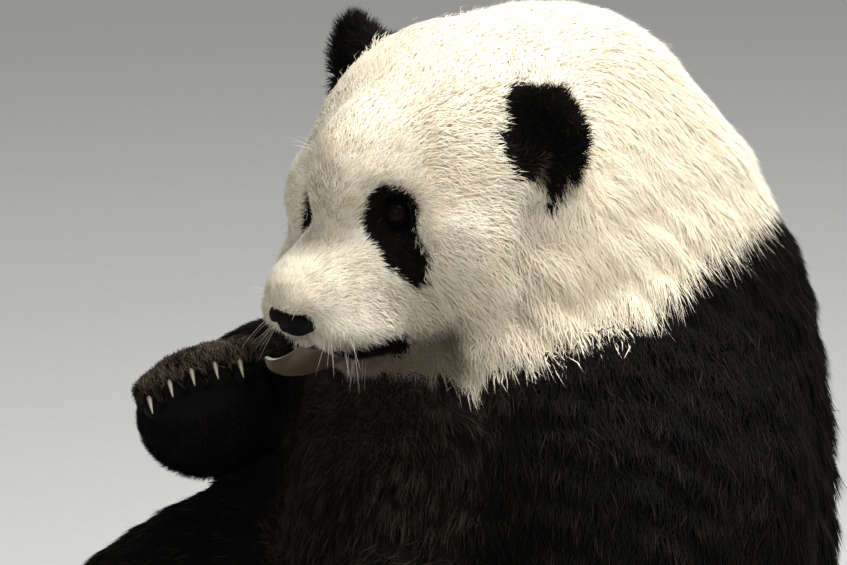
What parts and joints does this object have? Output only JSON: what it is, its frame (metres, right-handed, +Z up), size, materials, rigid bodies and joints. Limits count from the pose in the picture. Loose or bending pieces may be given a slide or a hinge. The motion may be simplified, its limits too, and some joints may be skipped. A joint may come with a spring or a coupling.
{
  "type": "giant panda",
  "caption": "Young giant panda sitting hunched on its rump, head turned to its left with the tongue out, one forepaw raised to the mouth and the other resting on the floor",
  "frame": {"origin": "on the floor under the middle of the bounding box of the seated animal", "axes": "+Z up, the body faces -Y, the animal's left side is +X; the head is turned to its left and rolled to that side"},
  "size_m": [0.636, 0.767, 0.6962],
  "materials": {
    "white_coat": "dense soft cream-white fur",
    "black_coat": "dense soft black fur with brown tips",
    "eye": "wet and glossy, near black",
    "nose": "pebbled bare skin, near black, also the paw pads",
    "tongue": "moist, brownish pink",
    "claw": "pale horn, worn satin"
  },
  "bodies": {
    "root": {"head": "white_coat", "lower_jaw": "white_coat", "nose": "nose", "tongue": "tongue", "eye_left": "eye", "eye_right": "eye", "ear_left": "black_coat", "ear_right": "black_coat", "neck": "white_coat", "chest": "black_coat", "abdomen": "white_coat", "tail": "white_coat", "upper_arm_left": "black_coat", "upper_arm_right": "black_coat", "forearm_left": "black_coat", "forearm_right": "black_coat", "forepaw_left": "black_coat", "forepaw_right": "black_coat", "thigh_left": "black_coat", "thigh_right": "black_coat", "lower_leg_left": "black_coat", "lower_leg_right": "black_coat", "foot_left": "black_coat", "foot_right": "black_coat", "claw_fore_left_1": "claw", "claw_fore_left_2": "claw", "claw_fore_left_3": "claw", "claw_fore_left_4": "claw", "claw_fore_left_5": "claw", "claw_fore_right_1": "claw", "claw_fore_right_2": "claw", "claw_fore_right_3": "claw", "claw_fore_right_4": "claw", "claw_fore_right_5": "claw", "claw_hind_left_1": "claw", "claw_hind_left_2": "claw", "claw_hind_left_3": "claw", "claw_hind_left_4": "claw", "claw_hind_left_5": "claw", "claw_hind_right_1": "claw", "claw_hind_right_2": "claw", "claw_hind_right_3": "claw", "claw_hind_right_4": "claw", "claw_hind_right_5": "claw"}
  },
  "joints": []
}
